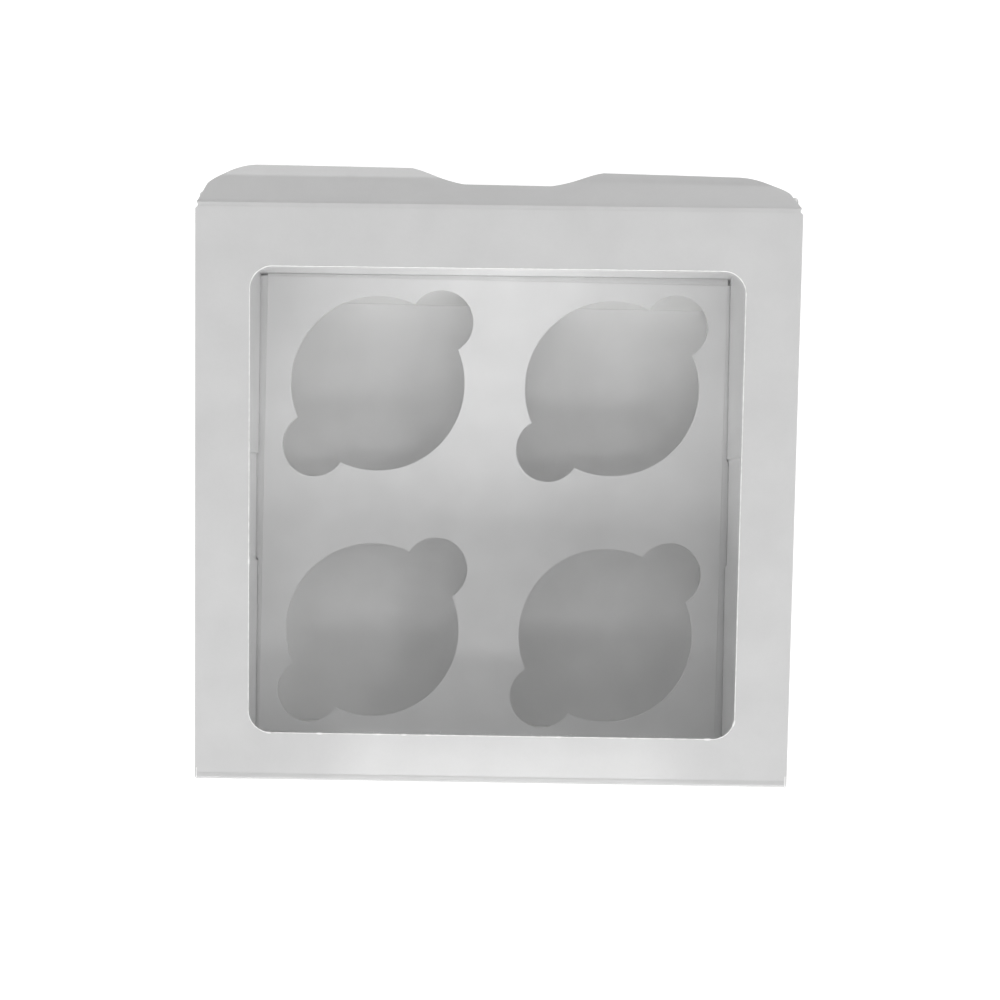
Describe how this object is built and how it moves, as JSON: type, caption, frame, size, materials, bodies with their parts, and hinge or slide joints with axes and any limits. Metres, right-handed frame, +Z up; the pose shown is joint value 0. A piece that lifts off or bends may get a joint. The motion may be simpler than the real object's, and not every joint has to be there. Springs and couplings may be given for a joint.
{
  "type": "cupcake box",
  "caption": "Folded card box with a hinged window lid, an untucked front flap with a finger dip, and a raised insert with round cake holes and finger ears.",
  "frame": {"origin": "centre of the base panel's underside", "axes": "+Z up, +Y towards the front wall and the tuck flap, -Y the lid's hinge, +X the right side seen from above with the flap at the top"},
  "size_m": [0.16, 0.1671, 0.0949],
  "materials": {
    "box_card": "white coated folding board with a satin gloss outside",
    "insert_card": "white folding board, die cut",
    "clear_film": "thin clear film with soft waves"
  },
  "bodies": {
    "box": {"box_body": "box_card", "insert": "insert_card"},
    "lid": {"lid_panel": "box_card", "window_film": "clear_film"},
    "flap": {"tuck_flap": "box_card"}
  },
  "joints": [
    {"name": "lid_hinge", "type": "hinge", "parent": "box", "child": "lid", "pos_m": [0, -0.0779, 0.0901], "axis": [1, 0, 0], "range_deg": [0, 195]},
    {"name": "flap_crease", "type": "hinge", "parent": "lid", "child": "flap", "pos_m": [0, 0.07403, 0.09464], "axis": [1, 0, 0], "range_deg": [0, 90]}
  ]
}
